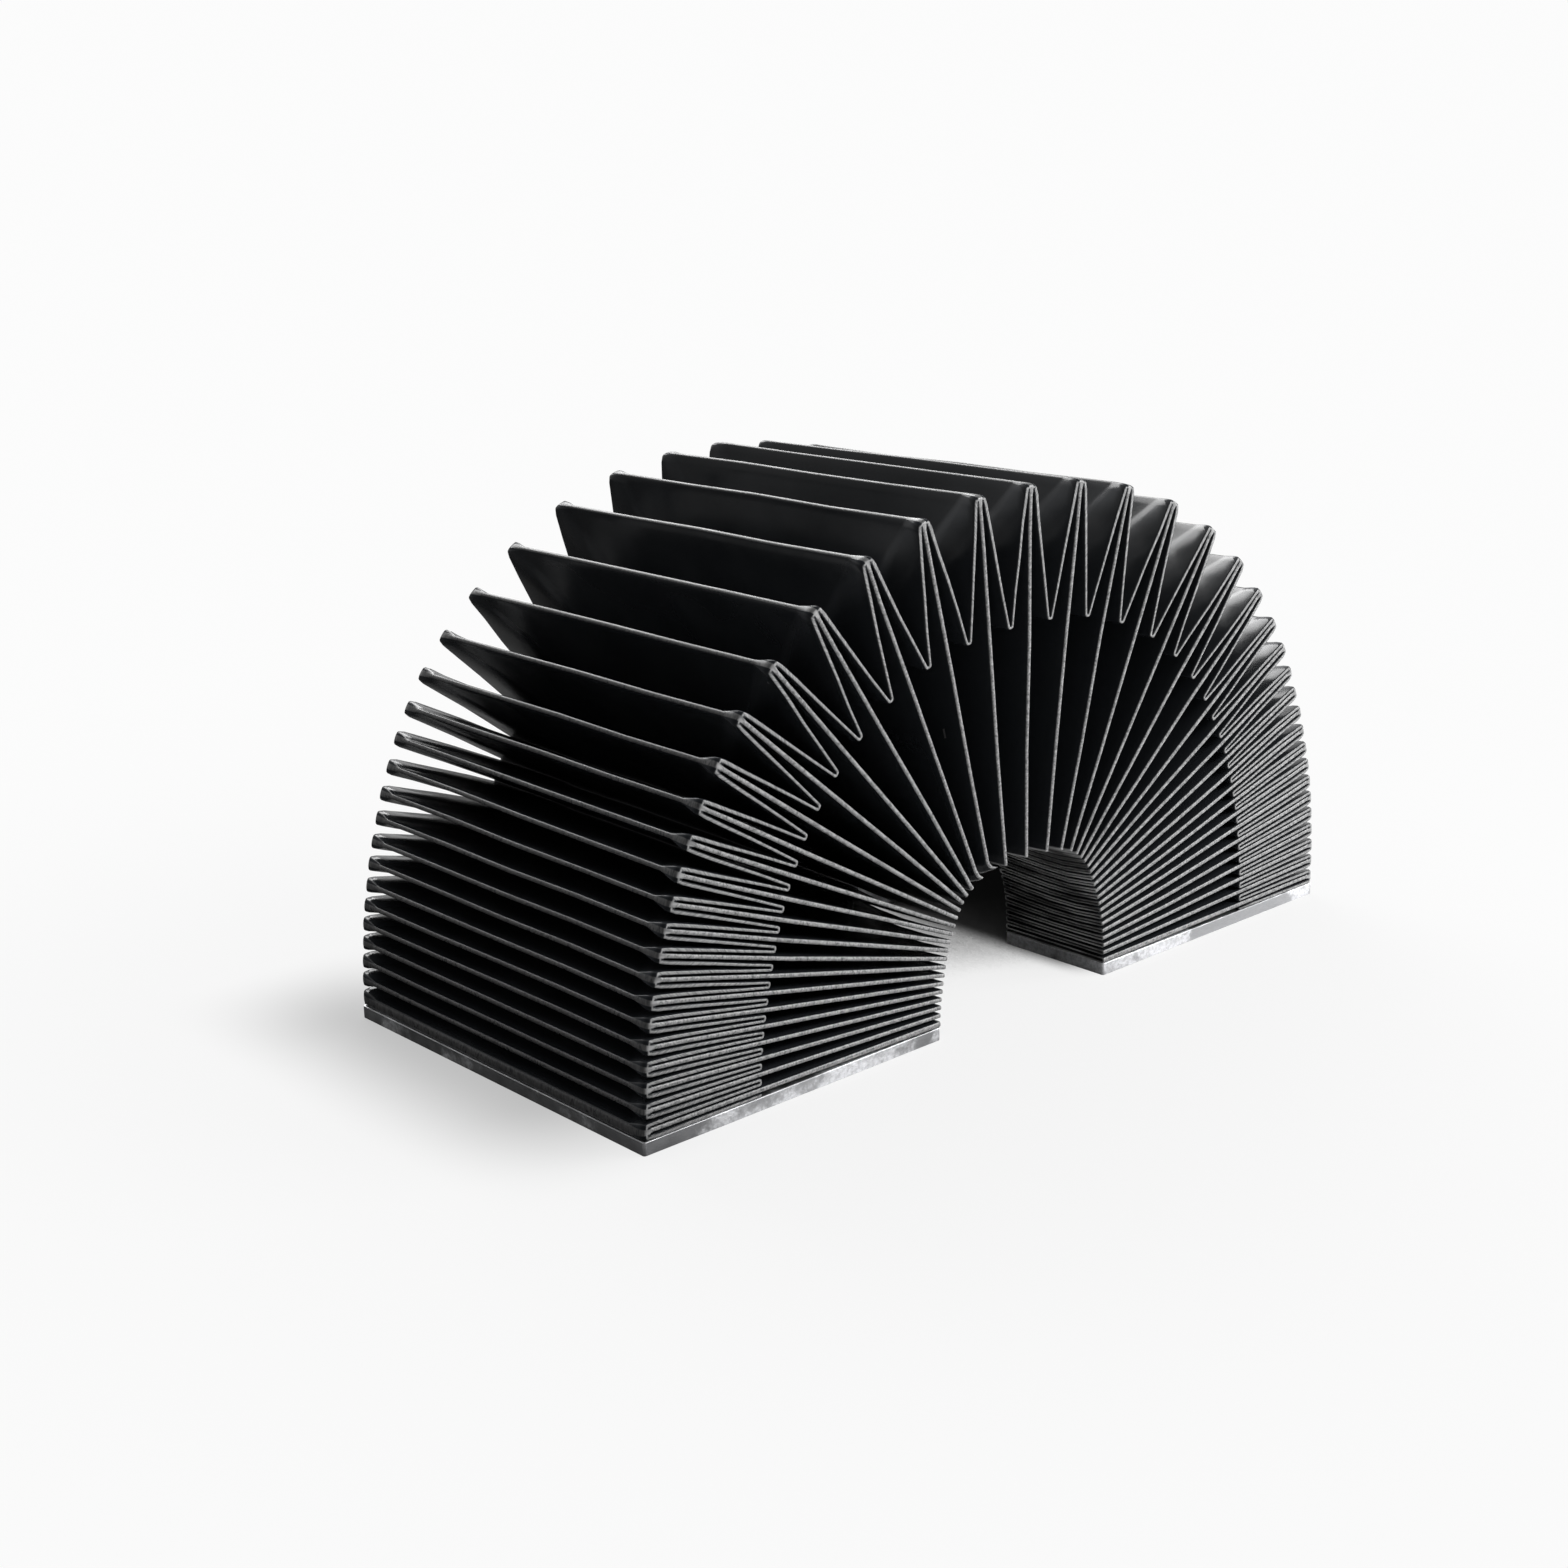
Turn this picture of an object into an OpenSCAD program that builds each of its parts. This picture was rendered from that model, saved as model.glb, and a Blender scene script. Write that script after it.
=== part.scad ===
// Bellows way cover: one folded sheet of coated cloth with a U section, bent into an arch, on two end plates.
// It stands on the floor, z = 0. X runs from the left end plate to the right one, Y across the cover.

/* [Bellows] */
// Number of pleats between the end plates
pleats = 43; // [31:2:55]
// Width across both side walls
width = 85; // [70:1:140]
// Height of a side wall, from its open edge to the top of a fold
side_h = 70; // [55:1:100]
// Depth of a pleat, on the roof and on the side walls
fold_d = 25.5; // [18:0.5:30]

/* [Cloth] */
// Thickness of the coated cloth
cloth_t = 0.2; // [0.15:0.01:0.25]
// Air inside a fold of a side wall, between its two layers
side_fold_gap = 0.45; // [0.25:0.05:0.5]
// Air inside a fold of the roof, away from its corners
roof_fold_gap = 0.5; // [0.4:0.05:0.7]
// Air inside a valley of the roof
valley_gap = 0.25; // [0.15:0.05:0.35]
// Air between the layers that are tucked into a corner
layer_gap = 0.2; // [0.15:0.01:0.25]
// Height over which a fold of the roof narrows into the fold of a side wall
corner_drop = 1.5; // [0.9:0.1:3]
// Distance from a corner over which a fold of the roof narrows to its own width
corner_reach = 4; // [3:0.5:12]

/* [Arch] */
// Distance between pressed pleats at the open edge of a side wall
foot_pitch = 1.54; // [1.4:0.01:2]
// Distance between pressed pleats at their outer corners
corner_pitch = 3.43; // [3.2:0.01:4]
// Number of pleats from the crown at which the bend has faded to half
bend_reach = 5.8; // [4.5:0.1:8]
// How suddenly the bend fades
bend_fade = 3.5; // [2.5:0.1:5]
// Share of the bend that is missing at the crown, which is flatter than its shoulders
crown_flat = 0.58; // [0:0.01:0.7]
// Number of pleats from the crown over which it stays flat
crown_reach = 2.2; // [1.5:0.1:3]
// Extra distance between the open edges at the crown
crown_room = 4.6; // [2:0.1:7]

/* [End plates] */
// Thickness of an end plate
plate_t = 2.5; // [1.5:0.1:5]
// Radius of the outer corners of an end plate
plate_r = 0.5; // [0.5:0.1:4]
// Radius of the inner corners of the opening in an end plate
slot_r = 2; // [0.5:0.1:5]
// Thickness of the glue between an end plate and the cloth
glue_t = 0.05; // [0.02:0.01:0.15]

/* [Hidden] */
cloth_colour = "#17181a";
plate_colour = "#8f9296";
half_turn = 180;

// Middle of the cloth: half the width, the top of a fold, and the distances between two layers
half_w = (width - cloth_t) / 2;
ridge_h = side_h - cloth_t / 2;
layer_step = cloth_t + layer_gap;
side_ridge_s = (side_fold_gap + cloth_t) / 2;
roof_ridge_s = (roof_fold_gap + cloth_t) / 2;
roof_valley_s = (valley_gap + cloth_t) / 2;
side_valley_s = foot_pitch / 2 - side_ridge_s;
corner_s = side_ridge_s + 2 * layer_step;

// Blunt tip of a gusset in its corner: its height and narrowing, and the ledge below it
tip_h = 0.1;
tip_s = 0.05;
ledge_h = 0.3;

// Bend of each pleat. Even pressed flat a pleat opens by the layers in its corners,
// and the rest of the half turn gathers round the crown.
function from_crown(k) = k - (pleats + 1) / 2;
function crown(k) = exp(-pow(from_crown(k) / crown_reach, 2));
function bend(k) = (1 - crown_flat * crown(k)) / (1 + pow(abs(from_crown(k)) / bend_reach, bend_fade));
function total(list) = list * [for (x = list) 1];
pressed_fan = 2 * asin((corner_pitch - foot_pitch) / (2 * side_h));
bend_total = total([for (k = [1:pleats]) bend(k)]);
bend_angle = (half_turn - pleats * pressed_fan) / bend_total;
fan = [for (k = [0:pleats]) k == 0 ? 0 : pressed_fan + bend_angle * bend(k)];
foot = [for (k = [0:pleats]) k == 0 ? 0 : foot_pitch + crown_room * crown(k)];

// A valley lies at each end and between two pleats. Its direction points outwards from the open edge.
valley_angle = [for (k = 0, a = half_turn; k <= pleats; k = k + 1, a = a - (k <= pleats ? fan[k] : 0)) a];
ridge_angle = [for (k = [0:pleats]) k == 0 ? half_turn : (valley_angle[k - 1] + valley_angle[k]) / 2];
function out_dir(a) = [cos(a), 0, sin(a)];
function along_dir(a) = [sin(a), 0, -cos(a)];

// Open edges of the valleys, one after the other, with the arch centred over the origin
edge_run = [
    for (k = 0, p = [0, 0, 0]; k <= pleats; k = k + 1,
        p = k <= pleats ? p + foot[k] * along_dir(ridge_angle[k]) : p) p
];
end_z = plate_t + glue_t + cloth_t / 2 - roof_valley_s;
arch_shift = [-edge_run[pleats][0] / 2, 0, end_z];
valley_foot = [for (p = edge_run) p + arch_shift];
ridge_foot = [for (k = [0:pleats]) k == 0 ? valley_foot[0] : (valley_foot[k - 1] + valley_foot[k]) / 2];
slot_half = valley_foot[pleats][0];

// Half the room that a pleat has at a height above its open edge, and the room at a valley
function half_room(k, h) = foot[k] / 2 + h * sin(fan[k] / 2);
function room(k, h) =
    k == 0 ? half_room(1, h) :
    k == pleats ? half_room(pleats, h) : (half_room(k, h) + half_room(k + 1, h)) / 2;
function reach_of(run) = sqrt(fold_d * fold_d - run * run);

// Height of a roof valley: below the middle of its two ridges by what the pleat's depth leaves
function ridge_top(k) = ridge_foot[k] + ridge_h * out_dir(ridge_angle[k]);
function top_between(k) =
    k == 0 ? ridge_top(1) :
    k == pleats ? ridge_top(pleats) : (ridge_top(k) + ridge_top(k + 1)) / 2;
function valley_h(k) =
    (top_between(k) - valley_foot[k]) * out_dir(valley_angle[k])
    - reach_of(max(0, room(k, ridge_h) - corner_s - roof_valley_s));
function valley_inset(k, h, s) = reach_of(max(0, room(k, h) - side_ridge_s - s));

// Rows of the folded sheet. Each pleat has two rows on its ridge and two in its valley, and a row has
// half its points on each side: open edge, side wall at the corner, gusset at its two creases,
// roof at the corner, roof. A point is [height, distance from the fold's plane, inset from the side,
// and the way to the cloth's outer face as outwards, along the arch, sideways].
mitre = sqrt(2) - 1;
function is_flat(k, side) = (k == 1 && side < 0) || (k == pleats && side > 0);
function flat_s(k, h) = foot[k] / 2 + (h * sin(fan[k] / 2) - roof_valley_s) / cos(fan[k] / 2);
function ridge_row(k, side) =
    let (
        flat = is_flat(k, side),
        edge_s = flat ? flat_s(k, 0) : side_ridge_s,
        roof_s = flat ? flat_s(k, ridge_h) : corner_s,
        middle_s = flat ? roof_s : roof_ridge_s,
        gusset_s = roof_s - layer_step,
        side_top = ridge_h - corner_drop,
        tip_low = side_top + ledge_h
    ) [
        [0, edge_s * side, 0, [0, side, 1]],
        [side_top, side_ridge_s * side, 0, [-mitre, side, 1]],
        [tip_low, (gusset_s - tip_s) * side, 0, [-mitre, -side, 1]],
        [tip_low + tip_h, gusset_s * side, 0, [0, -side, 1]],
        [ridge_h, roof_s * side, 0, [1, side, 1]],
        [ridge_h, middle_s * side, corner_reach, [1, side, 0]]
    ];
function valley_row(k, side) =
    let (
        h = valley_h(k),
        edge_s = k == 0 || k == pleats ? roof_valley_s : side_valley_s,
        gusset_s = roof_valley_s + layer_step,
        side_s = gusset_s + layer_step,
        inset = valley_inset(k, h, side_s)
    ) [
        [0, -edge_s * side, valley_inset(k, 0, edge_s), [0, side, 1]],
        [h - 2 * layer_step, -side_s * side, inset, [-mitre, side, 1]],
        [h - layer_step, -gusset_s * side, inset, [-1, -side, mitre]],
        [h - layer_step, -gusset_s * side, 0, [-1, -side, 1]],
        [h, -roof_valley_s * side, 0, [1, side, 1]],
        [h, -roof_valley_s * side, fold_d, [1, side, 0]]
    ];

// A row's points on one face of the cloth, from the near open edge over the roof to the far one
function place(p, foot_at, angle, hand, face) =
    foot_at
    + (p[0] + face * p[3][0]) * out_dir(angle)
    + (p[1] + face * p[3][1]) * along_dir(angle)
    + [0, hand * (half_w - p[2] + face * p[3][2]), 0];
function both_sides(row, foot_at, angle, face) = concat(
    [for (i = [0:len(row) - 1]) place(row[i], foot_at, angle, -1, face)],
    [for (i = [len(row) - 1:-1:0]) place(row[i], foot_at, angle, 1, face)]
);
function ridge_points(k, side, face) = both_sides(ridge_row(k, side), ridge_foot[k], ridge_angle[k], face);
function valley_points(k, side, face) = both_sides(valley_row(k, side), valley_foot[k], valley_angle[k], face);
function skin(face) = [
    for (k = [1:pleats])
        each concat(
            valley_points(k - 1, -1, face),
            ridge_points(k, -1, face),
            ridge_points(k, 1, face),
            valley_points(k, 1, face)
        )
];

// Triangles of the two faces of the cloth and of its cut edges. On the roof the diagonals are the creases
// that run from a corner to the valley, over the edge of the gusset below.
row_n = 12;
rows = 4 * pleats;
skin_n = rows * row_n;
function quad(a, b, c, d, first) = first ? [[a, b, c], [a, c, d]] : [[a, b, d], [b, c, d]];
function rising(r) = r % 4 == 0;
function turned(faces) = [for (f = faces) [f[2], f[1], f[0]]];
function sheet_faces(base) = [
    for (r = [0:rows - 2])
        for (c = [0:row_n - 2])
            let (
                a = base + r * row_n + c,
                near = c < row_n / 2
            )
                each quad(a, a + row_n, a + row_n + 1, a + 1, rising(r) != near)
];
function edge_faces(list) = [
    for (i = [0:len(list) - 2])
        each quad(list[i], list[i] + skin_n, list[i + 1] + skin_n, list[i + 1], true)
];
near_edge = [for (r = [rows - 1:-1:0]) r * row_n];
far_edge = [for (r = [0:rows - 1]) r * row_n + row_n - 1];
first_edge = [for (c = [0:row_n - 1]) c];
last_edge = [for (c = [row_n - 1:-1:0]) (rows - 1) * row_n + c];

module bellows() {
    color(cloth_colour)
        polyhedron(
            points = concat(skin(cloth_t / 2), skin(-cloth_t / 2)),
            faces = concat(
                turned(sheet_faces(0)),
                sheet_faces(skin_n),
                edge_faces(near_edge),
                edge_faces(far_edge),
                edge_faces(first_edge),
                edge_faces(last_edge)
            )
        );
}

// Rectangle from the origin along +X, centred on Y, with round corners
module rounded_rectangle(length, breadth, r) {
    translate([r, -breadth / 2])
        square([length - 2 * r, breadth]);
    translate([0, -breadth / 2 + r])
        square([length, breadth - 2 * r]);
    for (x = [r, length - r], y = [-1, 1])
        translate([x, y * (breadth / 2 - r)])
            circle(r, $fn = 48);
}

// U-shaped plate under a whole pleat, open towards the middle of the arch
module end_plate() {
    color(plate_colour)
        linear_extrude(plate_t)
            difference() {
                rounded_rectangle(side_h, width, plate_r);
                translate([-slot_r, 0])
                    rounded_rectangle(side_h - fold_d + slot_r, width - 2 * fold_d, slot_r);
            }
}

module right_end_plate() {
    translate([slot_half, 0, 0])
        end_plate();
}

module left_end_plate() {
    mirror([1, 0, 0])
        right_end_plate();
}

bellows();
left_end_plate();
right_end_plate();
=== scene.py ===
# Looks of a bellows way cover: one folded sheet of black coated cloth on two metal end plates.
import math

import bmesh
import bpy
import numpy as np
from mathutils import Matrix, Vector


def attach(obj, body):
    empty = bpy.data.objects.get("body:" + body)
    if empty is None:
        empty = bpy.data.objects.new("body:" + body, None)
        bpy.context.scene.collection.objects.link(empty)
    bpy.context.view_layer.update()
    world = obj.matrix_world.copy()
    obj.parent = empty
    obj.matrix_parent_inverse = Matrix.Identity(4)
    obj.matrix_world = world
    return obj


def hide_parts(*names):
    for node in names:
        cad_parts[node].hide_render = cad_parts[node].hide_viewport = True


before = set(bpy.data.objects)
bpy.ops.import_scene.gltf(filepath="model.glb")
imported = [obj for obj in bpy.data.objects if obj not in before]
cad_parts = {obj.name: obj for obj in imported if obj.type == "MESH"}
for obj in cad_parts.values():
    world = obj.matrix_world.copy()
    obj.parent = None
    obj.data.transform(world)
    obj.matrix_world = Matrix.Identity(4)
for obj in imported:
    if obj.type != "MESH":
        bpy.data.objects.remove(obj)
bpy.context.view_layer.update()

MM = 0.001

# Sizes of the folded sheet in millimetres, as in the part's source. A name that ends in H is a height, and
# one that ends in S is a distance from the plane of a fold.
PLEATS = 43
WIDTH = 85.0
SIDE_H = 70.0
FOLD_D = 25.5
CLOTH_T = 0.2
SIDE_FOLD_GAP = 0.45
ROOF_FOLD_GAP = 0.5
VALLEY_GAP = 0.25
LAYER_GAP = 0.2
CORNER_DROP = 1.5
CORNER_REACH = 4.0
FOOT_PITCH = 1.54
CORNER_PITCH = 3.43
BEND_REACH = 5.8
BEND_FADE = 3.5
CROWN_FLAT = 0.58
CROWN_REACH = 2.2
CROWN_ROOM = 4.6
PLATE_T = 2.5
GLUE_T = 0.05
TIP_H = 0.1
TIP_S = 0.05
LEDGE_H = 0.3

# Step between the layers at the ridge end of a corner, wider than in the part's source, as photographed
CORNER_STEP = 0.55

# Middle of the cloth, worked out from the sizes above
HALF_W = (WIDTH - CLOTH_T) / 2
RIDGE_H = SIDE_H - CLOTH_T / 2
LAYER_STEP = CLOTH_T + LAYER_GAP
SIDE_RIDGE_S = (SIDE_FOLD_GAP + CLOTH_T) / 2
ROOF_RIDGE_S = (ROOF_FOLD_GAP + CLOTH_T) / 2
ROOF_VALLEY_S = (VALLEY_GAP + CLOTH_T) / 2
SIDE_VALLEY_S = FOOT_PITCH / 2 - SIDE_RIDGE_S
CORNER_S = SIDE_RIDGE_S + 2 * CORNER_STEP
MITRE = math.sqrt(2) - 1

# The creases make a grid. Its rows follow each other along the bellows, and each goes from the near open
# edge over the roof to the far one. The pairs are the column at a roof corner and the next one inwards.
ROWS_A_PLEAT = 4
COLUMNS = 12
ROOF_CORNERS = ((4, 5), (7, 6))

# A fold is rounded over this length of a panel, and a ridge over more of it where it turns down at a corner
ROUND = 0.4
CORNER_ROUND = 1.5
# Share of a roof panel's twist that it takes up on the diagonal of the gusset behind it
DIAGONAL_SHARE = 0.6

# How the cloth has settled, in millimetres. Places and spreads along the bellows are counted in pleats.
SAG = 0.8
SAG_RUN = 20.0
SHOULDER_RISE = 1.7
SHOULDER_PLACE = 13.5
SHOULDER_SPREAD = 4.5
CROWN_LEAN = 1.5
CROWN_PLACE = 23.5
CROWN_SPREAD = 2.5
# Ridge ends that have curled, with how far each went aside, and the size of a curl
CURLED_ENDS = ((19, 0.9), (20, 1.9))
CURL_H = 2.4
CURL_DEPTH = 1.7
CURL_PLEATS = 0.25
CURL_OUT = 0.25
# Fine unevenness: the size and length of its waves, and how many there are of each along every axis
WAVES = ((0.05, 34.0), (0.04, 19.0), (0.03, 11.0))
WAVE_COUNT = 3
WAVE_SEED = 43
# The cloth is held up to this height above the plates, and free after a further rise
HELD_H = 1.0
FREE_RUN = 12.0

# Break of the plates' sharp edges in millimetres, the angles that count as sharp and as flat, and the
# distance in metres at which two points are one
PLATE_BREAK = 0.15
SHARP_ANGLE = math.radians(40)
FLAT_ANGLE = math.radians(0.5)
SAME_POINT = 1e-6

# White of the background
BACKDROP = 0.97


class Arch:
    """Places and directions of the ridges and valleys of the bent bellows, in millimetres.

    k counts pleats from the left plate, and h is a height above the open edge.
    """

    def __init__(self):
        count = range(1, PLEATS + 1)
        pressed = 2 * math.asin((CORNER_PITCH - FOOT_PITCH) / (2 * SIDE_H))
        bend_angle = (math.pi - PLEATS * pressed) / sum(self.bend(k) for k in count)
        self.fan = [0] + [pressed + bend_angle * self.bend(k) for k in count]
        self.foot = [0] + [FOOT_PITCH + CROWN_ROOM * self.crown(k) for k in count]
        self.valley_angle = [math.pi]
        for k in count:
            self.valley_angle.append(self.valley_angle[-1] - self.fan[k])
        self.ridge_angle = [math.pi]
        self.ridge_angle += [(self.valley_angle[k - 1] + self.valley_angle[k]) / 2 for k in count]
        run = [np.zeros(3)]
        for k in count:
            run.append(run[-1] + self.foot[k] * along_dir(self.ridge_angle[k]))
        end_z = PLATE_T + GLUE_T + CLOTH_T / 2 - ROOF_VALLEY_S
        shift = np.array([-run[-1][0] / 2, 0, end_z])
        self.valley_foot = [p + shift for p in run]
        self.ridge_foot = [self.valley_foot[0]]
        self.ridge_foot += [(self.valley_foot[k - 1] + self.valley_foot[k]) / 2 for k in count]

    def crown(self, k):
        return math.exp(-(from_crown(k) / CROWN_REACH) ** 2)

    def bend(self, k):
        return (1 - CROWN_FLAT * self.crown(k)) / (1 + (abs(from_crown(k)) / BEND_REACH) ** BEND_FADE)

    def half_room(self, k, h):
        return self.foot[k] / 2 + h * math.sin(self.fan[k] / 2)

    def room(self, k, h):
        if k == 0:
            return self.half_room(1, h)
        if k == PLEATS:
            return self.half_room(PLEATS, h)
        return (self.half_room(k, h) + self.half_room(k + 1, h)) / 2

    def ridge_top(self, k):
        return self.ridge_foot[k] + RIDGE_H * out_dir(self.ridge_angle[k])

    def valley_h(self, k):
        low, high = max(k, 1), min(k + 1, PLEATS)
        top = (self.ridge_top(low) + self.ridge_top(high)) / 2
        spare = max(0, self.room(k, RIDGE_H) - CORNER_S - ROOF_VALLEY_S)
        return (top - self.valley_foot[k]) @ out_dir(self.valley_angle[k]) - reach_of(spare)

    def valley_inset(self, k, h, s):
        return reach_of(max(0, self.room(k, h) - SIDE_RIDGE_S - s))

    def flat_s(self, k, h):
        half = self.fan[k] / 2
        return self.foot[k] / 2 + (h * math.sin(half) - ROOF_VALLEY_S) / math.cos(half)


def from_crown(k):
    return k - (PLEATS + 1) / 2


def out_dir(angle):
    return np.array([math.cos(angle), 0, math.sin(angle)])


def along_dir(angle):
    return np.array([math.sin(angle), 0, -math.cos(angle)])


def reach_of(run):
    return math.sqrt(FOLD_D * FOLD_D - run * run)


def ridge_row(arch, k, side):
    """Half a row on a ridge: height, distance from the fold's plane, inset and way to the outer face."""
    flat = (k == 1 and side < 0) or (k == PLEATS and side > 0)
    edge_s = arch.flat_s(k, 0) if flat else SIDE_RIDGE_S
    roof_s = arch.flat_s(k, RIDGE_H) if flat else CORNER_S
    middle_s = roof_s if flat else ROOF_RIDGE_S
    gusset_s = roof_s - CORNER_STEP
    side_top = RIDGE_H - CORNER_DROP
    tip_low = side_top + LEDGE_H
    return [
        (0, edge_s * side, 0, (0, side, 1)),
        (side_top, SIDE_RIDGE_S * side, 0, (-MITRE, side, 1)),
        (tip_low, (gusset_s - TIP_S) * side, 0, (-MITRE, -side, 1)),
        (tip_low + TIP_H, gusset_s * side, 0, (0, -side, 1)),
        (RIDGE_H, roof_s * side, 0, (1, side, 1)),
        (RIDGE_H, middle_s * side, CORNER_REACH, (1, side, 0)),
    ]


def valley_row(arch, k, side):
    """Half a row in a valley, with the same values as a row on a ridge."""
    h = arch.valley_h(k)
    edge_s = ROOF_VALLEY_S if k in (0, PLEATS) else SIDE_VALLEY_S
    gusset_s = ROOF_VALLEY_S + LAYER_STEP
    side_s = gusset_s + LAYER_STEP
    inset = arch.valley_inset(k, h, side_s)
    return [
        (0, -edge_s * side, arch.valley_inset(k, 0, edge_s), (0, side, 1)),
        (h - 2 * LAYER_STEP, -side_s * side, inset, (-MITRE, side, 1)),
        (h - LAYER_STEP, -gusset_s * side, inset, (-1, -side, MITRE)),
        (h - LAYER_STEP, -gusset_s * side, 0, (-1, -side, 1)),
        (h, -ROOF_VALLEY_S * side, 0, (1, side, 1)),
        (h, -ROOF_VALLEY_S * side, FOLD_D, (1, side, 0)),
    ]


def placed(row, foot, angle, face):
    """Both halves of a row on one face of the cloth, from the near open edge to the far one."""
    halves = []
    for hand in (-1, 1):
        half = []
        for height, s, inset, normal in row:
            out = (height + face * normal[0]) * out_dir(angle)
            along = (s + face * normal[1]) * along_dir(angle)
            across = np.array([0, hand * (HALF_W - inset + face * normal[2]), 0])
            half.append(foot + out + along + across)
        halves.append(half)
    return halves[0] + halves[1][::-1]


def crease_grid(arch, face):
    """Points of one face of the cloth at its creases: four rows a pleat, twelve points a row."""
    rows = []
    for k in range(1, PLEATS + 1):
        for row, at in ((valley_row, k - 1), (ridge_row, k), (ridge_row, k), (valley_row, k)):
            side = -1 if len(rows) % ROWS_A_PLEAT < ROWS_A_PLEAT / 2 else 1
            ridge = row is ridge_row
            foot = arch.ridge_foot[at] if ridge else arch.valley_foot[at]
            angle = arch.ridge_angle[at] if ridge else arch.valley_angle[at]
            rows.append(placed(row(arch, at, side), foot, angle, face))
    return np.array(rows)


def flat_grid():
    """Where the same points lie on the sheet before it is folded, in millimetres."""
    cap, base = 2 * ROOF_RIDGE_S, 2 * ROOF_VALLEY_S
    valley_side = SIDE_H - FOLD_D
    across = {
        "ridge": [0, SIDE_H, SIDE_H, SIDE_H, SIDE_H, SIDE_H + CORNER_REACH],
        "valley": [0, valley_side, valley_side, SIDE_H, SIDE_H, SIDE_H + FOLD_D],
    }
    full = 2 * SIDE_H + WIDTH
    rows = []
    length = 0
    for _ in range(PLEATS):
        for kind, step in (("valley", FOLD_D), ("ridge", cap), ("ridge", FOLD_D), ("valley", base)):
            half = across[kind]
            rows.append([(length, w) for w in half] + [(length, full - w) for w in half[::-1]])
            length += step
    return np.array(rows)


def fold_grid():
    """Three distances along the cloth for each crease point, in millimetres: from its ridge, from the crease
    at the roof's corner (roof positive, side walls negative), and from its ridge's middle to either side."""
    lip = LAYER_STEP / 2
    tip = CORNER_STEP / 2
    edge = FOLD_D + ROOF_RIDGE_S
    gusset_s = CORNER_S - CORNER_STEP
    ridge = zip(
        [-SIDE_H, -3 * tip, -2 * tip, -tip, tip, tip + CORNER_REACH],
        [SIDE_RIDGE_S, SIDE_RIDGE_S, gusset_s, gusset_s, CORNER_S, ROOF_RIDGE_S],
    )
    valley = [-SIDE_H, -FOLD_D - 2 * lip, -FOLD_D, -lip, lip, lip + FOLD_D]
    ridge = [(ROOF_RIDGE_S, crease, s) for crease, s in ridge]
    valley = [(edge, crease, edge) for crease in valley]
    rows = []
    for half, side in ((valley, -1), (ridge, -1), (ridge, 1), (valley, 1)):
        half = [(depth, crease, side * s) for depth, crease, s in half]
        rows.append(half + half[::-1])
    return np.array(rows * PLEATS)


def blend_matrix(count, stops):
    """Weights that turn crease points into the points of a sheet with round folds.

    A stop is (index, at): at is a share of the way to the next crease point, or (before, after, turn) for a
    point of the round fold at index, with the shares of its two neighbours that the fold takes and how far
    it has turned.
    """
    matrix = np.zeros((len(stops), count))
    for line, (i, at) in enumerate(stops):
        if isinstance(at, tuple):
            before, after, turn = at
            matrix[line, i - 1] = before * (1 - turn) ** 2
            matrix[line, i + 1] = after * turn ** 2
            matrix[line, i] = 1 - matrix[line, i - 1] - matrix[line, i + 1]
        else:
            matrix[line, i] = 1 - at
            if at:
                matrix[line, i + 1] = at
    return matrix


def row_stops():
    """Rows of the round-folded sheet, and which of them lie on a ridge."""
    soft = ROUND / FOLD_D
    last = ROWS_A_PLEAT * PLEATS - 1
    stops = []
    on_ridge = []

    def add(index, at, ridge=0):
        stops.append((index, at))
        on_ridge.append(ridge)

    for k in range(PLEATS):
        first = ROWS_A_PLEAT * k
        if first == 0:
            add(0, 0)
        else:
            add(first, (0.5, soft, 0.5))
            add(first, (0.5, soft, 1))
        for share in (0.25, 0.5, 0.75, 0.93):
            add(first, share)
        for turn in (0, 0.4, 0.75, 1):
            add(first + 1, (soft, 0.5, turn), 1)
        for turn in (0.25, 0.6, 1):
            add(first + 2, (0.5, soft, turn), 1)
        for share in (0.07, 0.25, 0.5, 0.75):
            add(first + 2, share)
        if first + 3 == last:
            add(last, 0)
        else:
            for turn in (0, 0.5, 1):
                add(first + 3, (soft, 0.5, turn))
    return blend_matrix(ROWS_A_PLEAT * PLEATS, stops), np.array(on_ridge)


def column_stops(corner_share):
    """Columns of the round-folded sheet. The roof turns down at its corner over corner_share of the way to
    its next crease point."""
    side_soft = ROUND / SIDE_H
    soft = ROUND / FOLD_D
    half = [(0, share) for share in (0, side_soft, 3 * side_soft, 6 * side_soft, 0.3, 0.6, 0.9)]
    half += [(1, (side_soft, 0.5, turn)) for turn in (0, 0.5, 1)]
    half += [(2, (0.5, soft, turn)) for turn in (0.5, 1)]
    half += [(2, share) for share in (0.3, 0.7)]
    half += [(3, (soft, 0.5, turn)) for turn in (0, 0.4, 0.75, 1)]
    half += [(4, (0.5, corner_share, turn)) for turn in (0.25, 0.6, 1)]
    half += [(4, share) for share in (0.45, 0.62, 0.8)]
    half += [(5, share) for share in (0, 0.25)]
    one = blend_matrix(COLUMNS, half)
    middle = blend_matrix(COLUMNS, [(5, 0.5)])
    return np.vstack([one, middle, one[::-1, ::-1]])


def sheet_points(grid, rows, columns):
    return np.einsum("ri,ijx,cj->rcx", rows, grid, columns)


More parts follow.
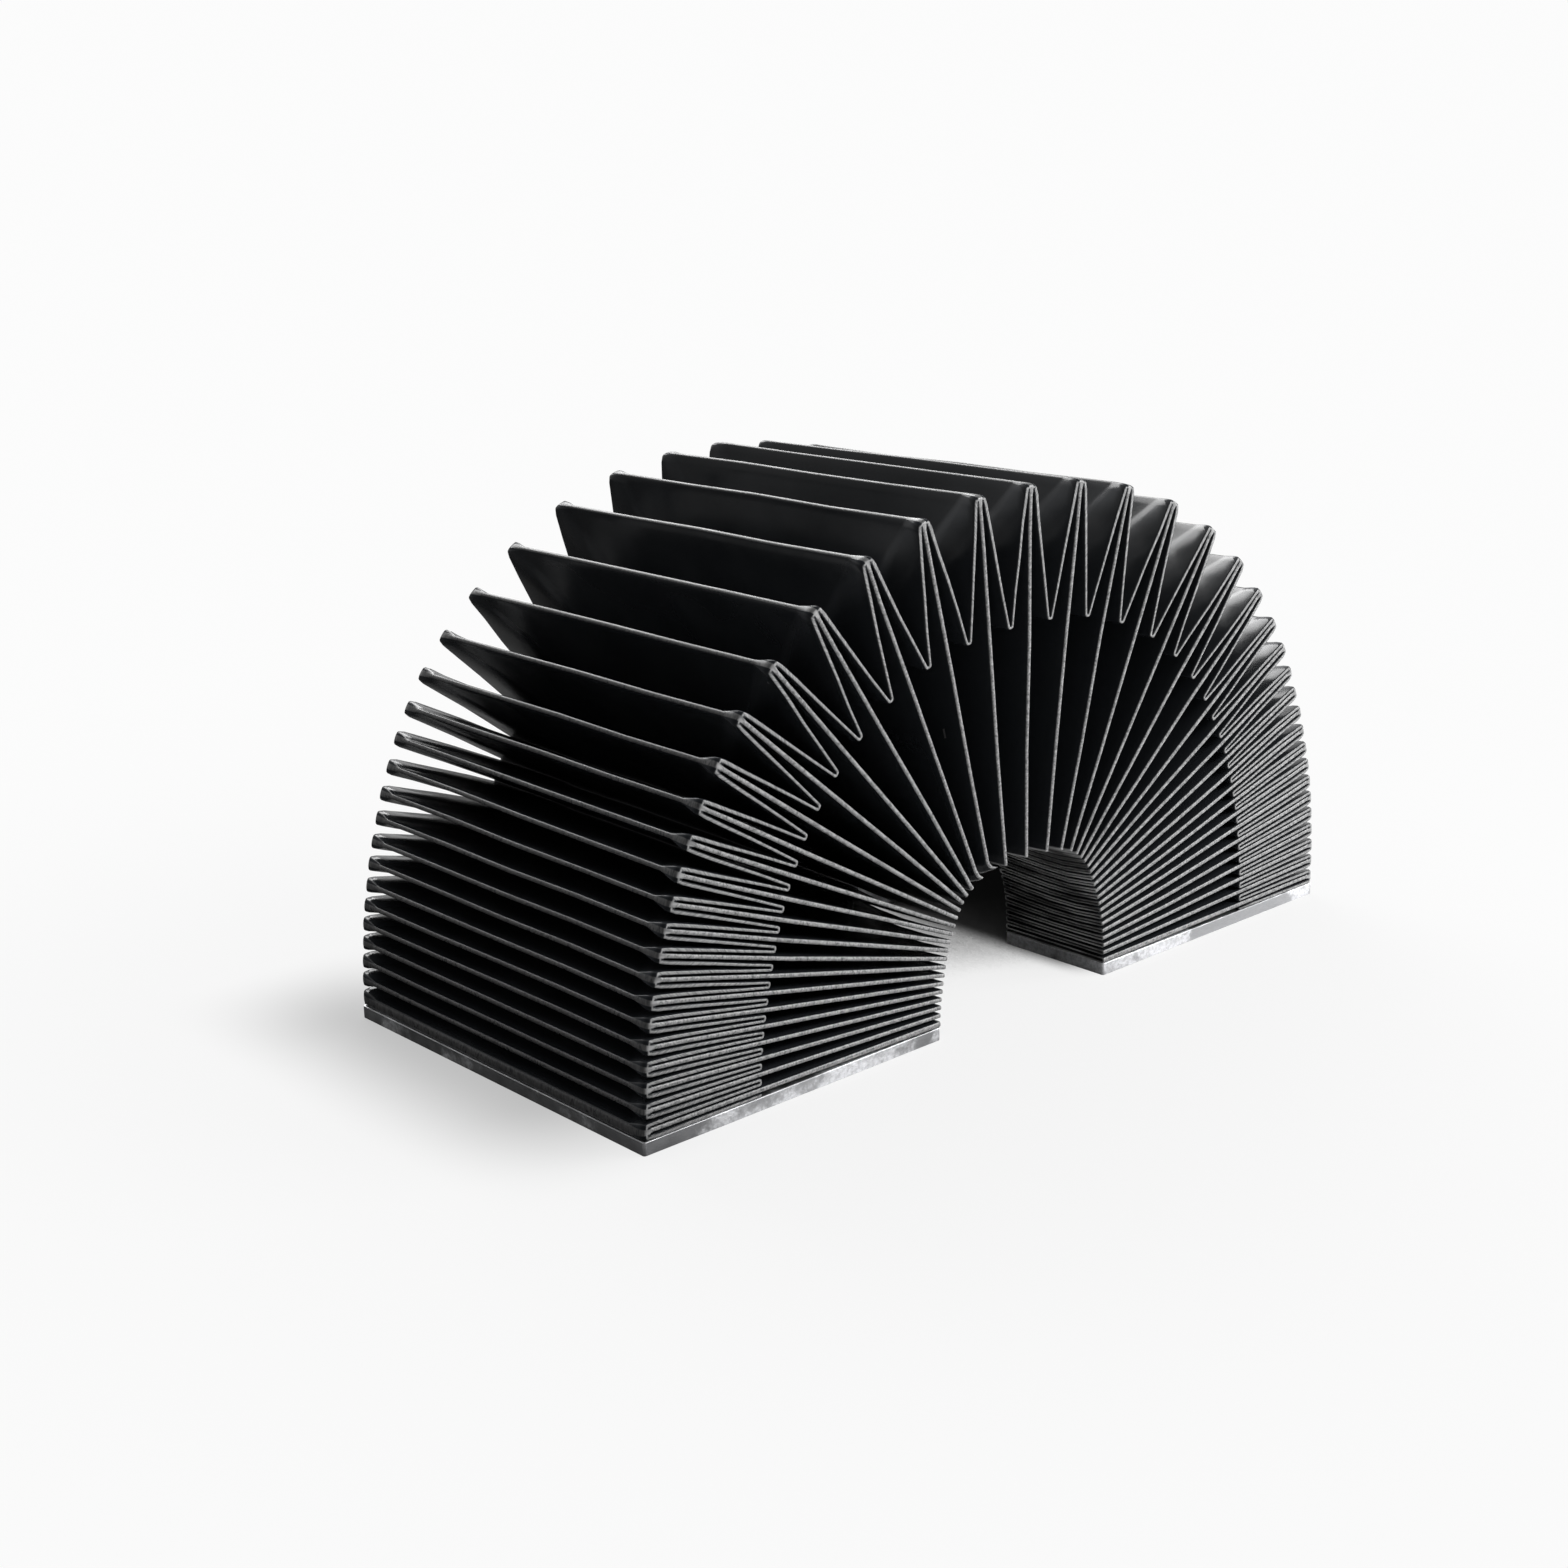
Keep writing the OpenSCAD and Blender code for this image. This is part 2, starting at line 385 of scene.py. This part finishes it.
def rounded_sheet(grid, rows, on_ridge):
    """Points of the sheet with round folds. Its ridges turn down gently at the corners, panels sharply."""
    gentle = column_stops(CORNER_ROUND / CORNER_REACH)
    sharp = column_stops(ROUND / FOLD_D)
    share = on_ridge[:, None, None]
    return share * sheet_points(grid, rows, gentle) + (1 - share) * sheet_points(grid, rows, sharp)


def diagonal_ease(grid, rows):
    """Shift that bends the roof panels on the diagonals of the gussets behind them, to lie clear of them.

    A panel between a corner and the roof's middle is twisted. Spread evenly, the twist would push it into
    the gusset. Every second row of the grid starts a panel, and the others start a fold.
    """
    columns = column_stops(ROUND / FOLD_D)
    row_at, column_at = rows @ np.arange(len(grid)), columns @ np.arange(COLUMNS)
    row = np.minimum(row_at.astype(int), len(grid) - 2)
    rising = row % ROWS_A_PLEAT == 0
    to_ridge = np.where(rising, row_at - row, row + 1 - row_at)
    ridge, valley = grid[np.where(rising, row + 1, row)], grid[np.where(rising, row, row + 1)]
    shift = np.zeros((len(row_at), len(column_at), 3))
    for corner, middle in ROOF_CORNERS:
        to_middle = np.clip((column_at - corner) / (middle - corner), 0, 1)
        to_middle = to_middle * (np.abs(column_at - corner) <= 1)
        twist = ridge[:, middle] - ridge[:, corner] - valley[:, middle] + valley[:, corner]
        bent = np.maximum(0, to_ridge[:, None] + to_middle - 1) - to_ridge[:, None] * to_middle
        shift += DIAGONAL_SHARE * bent[:, :, None] * twist[:, None, :]
    return shift * (row % 2 == 0)[:, None, None]


def hump(value, place, spread):
    """1 at a place, fading to 0 on both sides of it."""
    return np.exp(-((value - place) / spread) ** 2)


def settled(arch, points, pleat, depth, crease):
    """The sheet as it has settled.

    At the far side the left shoulder stands a little higher and the crown leans a little to the left. The
    side walls sag between their folds, two ridge ends by the crown have curled aside at the near open edge,
    and the cloth lies slightly unevenly. Apart from the curls, layers that lie side by side move together.
    All of it dies out towards the end plates.
    """
    across = points[:, 1] / WIDTH + 0.5
    shift = np.zeros_like(points)

    lying = np.abs(np.cos(np.interp(pleat, np.arange(1, PLEATS + 1), arch.ridge_angle[1:])))
    low = np.clip((-crease - FOLD_D) / SAG_RUN, 0, 1)
    inset = np.clip((WIDTH / 2 - np.abs(points[:, 1])) / FOLD_D, 0, 1)
    shift[:, 2] -= SAG * lying * low * np.sin(np.pi * inset)
    shift[:, 2] += SHOULDER_RISE * across * hump(pleat, SHOULDER_PLACE, SHOULDER_SPREAD)
    shift[:, 0] -= CROWN_LEAN * across * hump(pleat, CROWN_PLACE, CROWN_SPREAD)

    at_edge = np.clip(1 - (crease + SIDE_H) / CURL_H, 0, 1) ** 2
    end = at_edge * np.clip(1 - (depth - ROOF_RIDGE_S) / CURL_DEPTH, 0, 1)
    for k, aside in CURLED_ENDS:
        curled = aside * end * (np.abs(pleat - k) < CURL_PLEATS) * (points[:, 1] < 0)
        angle = arch.ridge_angle[k]
        shift += curled[:, None] * (along_dir(angle) + CURL_OUT * out_dir(angle))

    rng = np.random.default_rng(WAVE_SEED)
    for size, wave in WAVES:
        for axis in range(3):
            for _ in range(WAVE_COUNT):
                way = rng.normal(size=3)
                way *= 2 * math.pi / wave / np.linalg.norm(way)
                shift[:, axis] += size * np.sin(points @ way + rng.uniform(0, 2 * math.pi))

    free = np.clip((points[:, 2] - PLATE_T - HELD_H) / FREE_RUN, 0, 1)
    free = free * free * (3 - 2 * free)
    return points + shift * free[:, None]


def sheet_faces(n_rows, n_cols):
    """Faces of the two skins and then of the cut edges that join them, and how many the skins have."""
    n_skin = n_rows * n_cols
    at = np.arange(n_skin).reshape(n_rows, n_cols)
    quads = np.stack([at[:-1, :-1], at[1:, :-1], at[1:, 1:], at[:-1, 1:]], axis=-1).reshape(-1, 4)
    faces = [quads[:, ::-1], quads + n_skin]
    for edge in (at[::-1, 0], at[:, -1], at[0, :], at[-1, ::-1]):
        faces.append(np.stack([edge[:-1], edge[:-1] + n_skin, edge[1:] + n_skin, edge[1:]], axis=-1))
    return np.vstack(faces)[:, ::-1], 2 * len(quads)


def add_values(mesh, name, values):
    """Give each point of a mesh a number or a vector that its material reads."""
    kind, field = ("FLOAT_VECTOR", "vector") if values.ndim == 2 else ("FLOAT", "value")
    layer = mesh.attributes.new(name, kind, "POINT")
    layer.data.foreach_set(field, values.astype(np.float32).ravel())


def make_bellows(arch):
    """The folded sheet: an outer and an inner skin that are joined along the cut edges of the cloth."""
    rows, on_ridge = row_stops()
    outer, inner = (
        rounded_sheet(grid, rows, on_ridge) + diagonal_ease(grid, rows)
        for grid in (crease_grid(arch, CLOTH_T / 2), crease_grid(arch, -CLOTH_T / 2))
    )
    flat = rounded_sheet(flat_grid(), rows, on_ridge)
    fold = rounded_sheet(fold_grid(), rows, on_ridge)
    n_rows, n_cols = outer.shape[:2]
    cut = np.zeros(n_cols)
    cut[[0, -1]] = 1
    along = rows @ (np.arange(1, PLEATS + 1)[:, None] + np.array([-0.5, 0, 0, 0.5])).ravel()
    pleat = np.tile(np.repeat(along, n_cols), 2)
    depth, crease = (np.tile(fold[:, :, axis].ravel(), 2) for axis in (0, 1))
    skins = np.vstack([outer.reshape(-1, 3), inner.reshape(-1, 3)])
    points = settled(arch, skins, pleat, depth, crease) * MM
    faces, n_smooth = sheet_faces(n_rows, n_cols)

    mesh = bpy.data.meshes.new("pleated_sheet")
    mesh.from_pydata(points.tolist(), [], faces.tolist())
    uv = mesh.uv_layers.new(name="flat_sheet")
    vertex_of = np.zeros(len(mesh.loops), dtype=np.int32)
    mesh.loops.foreach_get("vertex_index", vertex_of)
    flat_uv = np.vstack([flat.reshape(-1, 2)] * 2) * MM
    uv.data.foreach_set("uv", flat_uv[vertex_of].astype(np.float32).ravel())
    add_values(mesh, "fold", np.vstack([fold.reshape(-1, 3)] * 2))
    add_values(mesh, "cut", np.tile(cut, 2 * n_rows))
    add_values(mesh, "inside", np.repeat([0, 1], n_rows * n_cols))
    mesh.polygons.foreach_set("use_smooth", np.arange(len(faces)) < n_smooth)
    mesh.update()
    mesh.validate()
    piece = bpy.data.objects.new("pleated_sheet", mesh)
    bpy.context.scene.collection.objects.link(piece)
    return piece


def make_plate(solid, name):
    """Copy of an end plate with its sharp edges broken. The broken edges are marked for wear."""
    form = bmesh.new()
    form.from_mesh(solid.data)
    bmesh.ops.remove_doubles(form, verts=form.verts, dist=SAME_POINT)
    bmesh.ops.dissolve_limit(form, angle_limit=FLAT_ANGLE, verts=form.verts, edges=form.edges)
    worn = form.faces.layers.float.new("worn_edge")
    inner = [edge for edge in form.edges if len(edge.link_faces) == 2]
    sharp = [edge for edge in inner if edge.calc_face_angle() > SHARP_ANGLE]
    size = PLATE_BREAK * MM
    broken = bmesh.ops.bevel(form, geom=sharp, offset=size, segments=2, profile=0.5, affect="EDGES")
    for face in broken["faces"]:
        face[worn] = 1
    bmesh.ops.triangulate(form, faces=[face for face in form.faces if len(face.verts) > 4])
    mesh = bpy.data.meshes.new(name)
    form.to_mesh(mesh)
    form.free()
    mesh.transform(solid.matrix_world)
    plate = bpy.data.objects.new(name, mesh)
    bpy.context.scene.collection.objects.link(plate)
    return plate


def make_camera():
    """Camera of the photograph, fitted to the fold corners, in the part's frame."""
    focal_px = 2231.7
    frame_px = 1568
    yaw, pitch, roll = (math.radians(a) for a in (42.175, 16.229, -0.997))
    place = Vector((-299.46, -305.85, 160.35)) * MM
    forward = Vector((math.sin(yaw) * math.cos(pitch), math.cos(yaw) * math.cos(pitch), -math.sin(pitch)))
    right = Vector((math.cos(yaw), -math.sin(yaw), 0))
    up = right.cross(forward)
    rolled_right = math.cos(roll) * right + math.sin(roll) * up
    rolled_up = math.cos(roll) * up - math.sin(roll) * right
    data = bpy.data.cameras.new("camera")
    data.sensor_width = 36
    data.lens = focal_px / frame_px * data.sensor_width
    data.clip_start = 0.01
    camera = bpy.data.objects.new("camera", data)
    matrix = Matrix((rolled_right, rolled_up, -forward)).transposed().to_4x4()
    matrix.translation = place
    camera.matrix_world = matrix
    bpy.context.scene.collection.objects.link(camera)
    bpy.context.scene.camera = camera


class Shader:
    """Short ways to add nodes to a material or world."""

    def __init__(self, tree):
        self.nodes = tree.nodes
        self.links = tree.links

    def add(self, kind, inputs=None, **values):
        made = self.nodes.new(kind)
        for name, value in values.items():
            setattr(made, name, value)
        for key, value in (inputs or {}).items():
            self.set(made.inputs[key], value)
        return made

    def set(self, socket, value):
        if isinstance(value, bpy.types.NodeSocket):
            self.links.new(value, socket)
        else:
            socket.default_value = value

    def attribute(self, name, output="Fac"):
        return self.add("ShaderNodeAttribute", attribute_name=name).outputs[output]

    def position(self):
        return self.add("ShaderNodeNewGeometry").outputs["Position"]

    def parts(self, vector):
        return tuple(self.add("ShaderNodeSeparateXYZ", {0: vector}).outputs)

    def scaled(self, vector, scale):
        return self.add("ShaderNodeMapping", {"Vector": vector, "Scale": scale}).outputs["Vector"]

    def dot(self, vector, way):
        inputs = {0: vector, 1: way}
        return self.add("ShaderNodeVectorMath", inputs, operation="DOT_PRODUCT").outputs["Value"]

    def math(self, operation, *values):
        return self.add("ShaderNodeMath", dict(enumerate(values)), operation=operation).outputs[0]

    def times(self, a, b):
        return self.math("MULTIPLY", a, b)

    def plus(self, a, b):
        return self.math("ADD", a, b)

    def minus(self, a, b):
        return self.math("SUBTRACT", a, b)

    def size(self, value):
        return self.math("ABSOLUTE", value)

    def larger(self, a, b):
        return self.math("MAXIMUM", a, b)

    def ramp(self, value, low, high, start=0.0, end=1.0):
        """start at low and below, end at high and above, with a soft change between."""
        inputs = {"Value": value, "From Min": low, "From Max": high, "To Min": start, "To Max": end}
        return self.add("ShaderNodeMapRange", inputs, interpolation_type="SMOOTHSTEP").outputs["Result"]

    def mix(self, factor, a, b):
        """From colour a to colour b."""
        return self.add("ShaderNodeMix", {0: factor, 6: a, 7: b}, data_type="RGBA").outputs[2]

    def blend(self, factor, a, b):
        """From number a to number b."""
        return self.add("ShaderNodeMix", {0: factor, 2: a, 3: b}).outputs[0]

    def noise(self, vector, scale, detail=2.0, roughness=0.5):
        inputs = {"Vector": vector, "Scale": scale, "Detail": detail, "Roughness": roughness}
        return self.add("ShaderNodeTexNoise", inputs).outputs["Fac"]

    def bump(self, height, strength, distance):
        inputs = {"Height": height, "Strength": strength, "Distance": distance}
        return self.add("ShaderNodeBump", inputs).outputs["Normal"]


def grey(value):
    return (value, value, value, 1)


def new_material(name):
    material = bpy.data.materials.new(name)
    material.use_nodes = True
    return material, Shader(material.node_tree), material.node_tree.nodes["Principled BSDF"].inputs


def cloth_material():
    """Black coated cloth with grey cut edges.

    Its coating is worn grey along the folds, and that grey also stands for painted highlights on the round
    folds. Along the diagonals where the gussets behind it print through, it is painted paler as a highlight.
    Its back is grey, partly painted light. Distances along the cloth are in millimetres.
    """
    # Black of the coating, and a paler black painted as a highlight along the gussets' diagonals
    black, highlight_black = (0.0142, 0.0158, 0.018, 1), (0.046, 0.049, 0.054, 1)
    # Grey of the cloth's back, partly its own tone and partly painted light for the inside of the arch
    back_dark, back_pale = grey(0.05), grey(0.11)
    cut_dark, cut_pale = grey(0.14), grey(0.58)
    # Grey of the fold lines: worn coating, and also painted highlights on the rounded folds
    line_grey, roof_line_grey = grey(0.38), grey(0.1)

    material, make, out = new_material("coated_cloth")
    from_ridge, crease, aside = make.parts(make.attribute("fold", "Vector"))
    flat = make.add("ShaderNodeUVMap", uv_map="flat_sheet").outputs["UV"]
    cut = make.attribute("cut")
    inside = make.attribute("inside")

    wobble = make.minus(make.noise(flat, 700, 2), 0.5)
    to_crease = make.plus(make.size(crease), make.times(wobble, 0.16))
    from_middle = make.plus(make.size(aside), make.times(wobble, 0.14))

    # Lines of worn coating along the ridges of the side walls and roof, and along the creases at the
    # corners.
    # Their grey is also a painted highlight on the rounded folds.
    on_ridge = make.ramp(from_ridge, 0.4, 0.7, 1, 0)
    ridge_line = make.times(on_ridge, make.ramp(from_middle, 0.38, 0.6, 1, 0))
    on_roof = make.ramp(crease, 0.1, 0.5)
    crease_line = make.ramp(to_crease, 0.12, 0.25, 1, 0)
    corner_line = make.ramp(to_crease, 0.05, 0.13, 1, 0)
    thin = make.blend(on_ridge, crease_line, corner_line)
    side_line = make.times(ridge_line, make.minus(1, on_roof))

    rubbed = make.ramp(make.noise(flat, 900, 3, 0.6), 0.3, 0.62, 0.5, 1)
    thread = make.ramp(make.noise(flat, 2400, 1), 0.35, 0.6, 0.5, 1)
    worn = make.times(make.times(rubbed, thread), make.minus(1, inside))
    lines = make.times(make.larger(side_line, thin), worn)
    roof_lines = make.times(make.times(ridge_line, on_roof), worn)

    # The gusset behind the roof ends on a diagonal from the corner. Along it the roof is painted paler, as a
    # painted highlight on the step that the gusset makes
    drift = make.times(make.minus(make.noise(flat, 60, 1), 0.5), 5)
    past = make.plus(make.minus(crease, from_ridge), drift)
    on_diagonal = make.times(make.ramp(past, -6, 0), make.ramp(past, 0, 5, 1, 0))
    painted_highlight = make.times(on_diagonal, make.ramp(crease, 0.5, 2))
    patch = make.ramp(make.noise(flat, 45, 2), 0.35, 0.7)
    pale = make.times(painted_highlight, make.plus(make.times(patch, 0.6), 0.4))

    # The coating's black, with the painted highlight along the diagonals
    coat_with_highlight = make.mix(pale, black, highlight_black)
    back = make.mix(make.noise(flat, 400, 2), back_dark, back_pale)
    with_back = make.mix(inside, coat_with_highlight, back)
    with_roof = make.mix(roof_lines, with_back, roof_line_grey)
    with_lines = make.mix(lines, with_roof, line_grey)
    bands = make.scaled(make.position(), (0.2, 0.2, 1))
    cut_tone = make.mix(make.ramp(make.noise(bands, 320, 3), 0.38, 0.62), cut_dark, cut_pale)
    make.set(out["Base Color"], make.mix(cut, with_lines, cut_tone))

    mottle = make.ramp(make.noise(flat, 160, 3), 0.3, 0.7, 0.15, 0.25)
    make.set(out["Roughness"], make.plus(mottle, make.times(make.larger(lines, roof_lines), 0.2)))
    broad = make.times(on_ridge, make.ramp(from_middle, 0.45, 0.65))
    make.set(out["Specular IOR Level"], make.blend(broad, 0.27, 0.0))

    raised = make.times(make.ramp(past, -5, 3, 1, 0), 3)
    height = make.plus(make.noise(flat, 1500, 2), raised)
    make.set(out["Normal"], make.bump(height, 0.2, 0.03 * MM))
    return material


def plate_material():
    """Sheared aluminium: dull and streaked, with bright scuffed patches and worn edges."""
    dull, bright, streak_grey = (0.46, 0.465, 0.48, 1), (0.95, 0.955, 0.98, 1), grey(0.6)

    material, make, out = new_material("plate_metal")
    where = make.position()
    wear = make.ramp(make.noise(where, 250, 3), 0.4, 0.6, 0, 0.4)
    worn_edge = make.times(make.attribute("worn_edge"), wear)

    # The patches lie closer together where the two plates face each other
    grain = make.ramp(make.noise(where, 1300, 3, 0.6), 0.35, 0.6, 0.55, 1)
    out_x = make.size(make.parts(where)[0])
    rubbing = make.plus(make.noise(where, 55, 8, 0.68), make.ramp(out_x, 0.03, 0.065, 0.11, 0))
    patches = make.times(make.ramp(rubbing, 0.5, 0.59), grain)
    scuffed = make.larger(patches, worn_edge)

    streak = make.noise(make.scaled(where, (1, 1, 6)), 900, 3)
    tone = make.mix(scuffed, dull, bright)
    make.set(out["Base Color"], make.mix(make.ramp(streak, 0.35, 0.65, 0, 0.3), tone, streak_grey))
    make.set(out["Metallic"], 1.0)
    rough = make.ramp(make.noise(where, 300, 3), 0.3, 0.7, 0.36, 0.48)
    make.set(out["Roughness"], make.plus(rough, make.times(scuffed, 0.16)))
    pits = make.times(make.noise(where, 2200, 2), scuffed)
    make.set(out["Normal"], make.bump(make.plus(streak, make.times(pits, 2)), 0.25, 0.05 * MM))
    return material


def floor_material():
    """White for the camera away from the part, with painted shade near it, and painted light and shade
    for what the part mirrors.

    A place is a pair of distances from the part's middle, in metres, between which the tone changes.
    """
    left_start, left_end = (-0.124, -0.092), (-0.09, -0.06)
    gap_end, gap_side = (0.022, 0.04), (0.04, 0.055)
    leg_start, leg_end, leg_side = (0.018, 0.026), (0.085, 0.092), (0.03, 0.042)
    shadow_front, shadow_rear = (-0.05, -0.01), (0.04, 0.08)
    front, fade_out = (-0.06, 0.03), (0.06, 0.32)

    material, make, out = new_material("floor")
    where = make.position()
    seen = make.add("ShaderNodeLightPath").outputs["Is Camera Ray"]
    x, y, _ = make.parts(where)
    out_x, out_y = make.size(x), make.size(y)
    leftward = make.times(make.ramp(x, *left_start), make.ramp(x, *left_end, 1, 0))

    # What the part mirrors: painted light and shade on the floor, pale in front of the part, and dark
    # behind it, between its legs and to its left
    ahead = make.dot(where, (0.5, -0.85, 0))
    between = make.times(make.ramp(out_x, *gap_end, 1, 0), make.ramp(out_y, *gap_side, 1, 0))
    dark = make.times(make.larger(between, leftward), 0.75)
    pale = make.times(make.ramp(ahead, *front, 0.08, 0.7), make.minus(1, dark))
    make.set(out["Base Color"], make.blend(seen, pale, 0.5))
    make.set(out["Roughness"], 0.7)
    make.set(out["Specular IOR Level"], 0.1)

    # What the camera sees: a glowing white, with painted soft shade close to the part and under it, painted
    # shade in the channels of the legs and a painted soft shadow to the left of the part
    open_sky = make.add("ShaderNodeAmbientOcclusion", {"Distance": 0.2}, samples=16).outputs["AO"]
    under = make.ramp(open_sky, 0.03, 0.18, 0.05, 1)
    in_legs = make.times(make.ramp(out_x, *leg_start), make.ramp(out_x, *leg_end, 1, 0))
    channel = make.times(in_legs, make.ramp(out_y, *leg_side, 0.95, 0))
    beside = make.times(make.ramp(y, *shadow_front, 0, 0.42), make.ramp(y, *shadow_rear, 1, 0))
    shadow = make.times(leftward, beside)
    shade = make.times(make.minus(1, channel), make.minus(1, shadow))
    white = make.add("ShaderNodeEmission", {"Color": grey(BACKDROP), "Strength": make.times(under, shade)})
    away = make.add("ShaderNodeVectorMath", {0: where}, operation="LENGTH").outputs["Value"]
    fade = make.times(make.ramp(away, *fade_out, 0.87, 1), seen)
    shader = make.nodes["Principled BSDF"].outputs[0]
    mixed = make.add("ShaderNodeMixShader", {0: fade, 1: shader, 2: white.outputs[0]})
    make.set(make.nodes["Material Output"].inputs["Surface"], mixed.outputs[0])
    return material


def dress(piece, material):
    piece.data.materials.clear()
    piece.data.materials.append(material)


def make_floor():
    """Pale floor that runs into the white of the background away from the part."""
    reach = 30.0
    corners = [(-2 * reach, -reach, 0), (2 * reach, -reach, 0), (0, 2 * reach, 0)]
    mesh = bpy.data.meshes.new("floor")
    mesh.from_pydata(corners, [], [(0, 1, 2)])
    floor = bpy.data.objects.new("floor", mesh)
    bpy.context.scene.collection.objects.link(floor)
    dress(floor, floor_material())


def make_light():
    """A room with two lamps, bright behind the part and to its right, and dark to its left."""
    wall = Vector((0.7, 0.55, 0.45)).normalized()
    dim, bright = 0.22, 0.9
    aim = Vector((0, 0, 0.04))

    world = bpy.data.worlds.new("studio")
    bpy.context.scene.world = world
    world.use_nodes = True
    make = Shader(world.node_tree)
    facing = make.dot(make.add("ShaderNodeTexCoord").outputs["Generated"], wall)
    room = make.nodes["Background"]
    make.set(room.inputs["Color"], grey(1))
    make.set(room.inputs["Strength"], make.ramp(facing, -0.5, 0.9, dim, bright))
    backdrop = make.add("ShaderNodeBackground", {"Color": grey(BACKDROP)})
    seen = make.add("ShaderNodeLightPath").outputs["Is Camera Ray"]
    mixed = make.add("ShaderNodeMixShader", {0: seen, 1: room.outputs[0], 2: backdrop.outputs[0]})
    make.set(make.nodes["World Output"].inputs["Surface"], mixed.outputs[0])

    for name, place, size, power in (
        ("key", (0.34, -0.34, 0.32), (0.3, 0.3), 3.5),
        ("back", (0.21, 0.6, 0.55), (0.7, 0.4), 6),
    ):
        data = bpy.data.lights.new(name, "AREA")
        data.shape = "RECTANGLE"
        data.size, data.size_y = size
        data.energy = power
        lamp = bpy.data.objects.new(name, data)
        lamp.location = place
        lamp.rotation_euler = (aim - Vector(place)).to_track_quat("-Z", "Y").to_euler()
        bpy.context.scene.collection.objects.link(lamp)


bpy.context.scene.view_settings.view_transform = "Standard"
make_camera()
make_light()
make_floor()

sheet = make_bellows(Arch())
dress(sheet, cloth_material())
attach(sheet, "root")
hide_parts("bellows")

metal = plate_material()
for end in ("left", "right"):
    plate = make_plate(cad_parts[end + "_end_plate"], end + "_plate")
    dress(plate, metal)
    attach(plate, "root")
    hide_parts(end + "_end_plate")
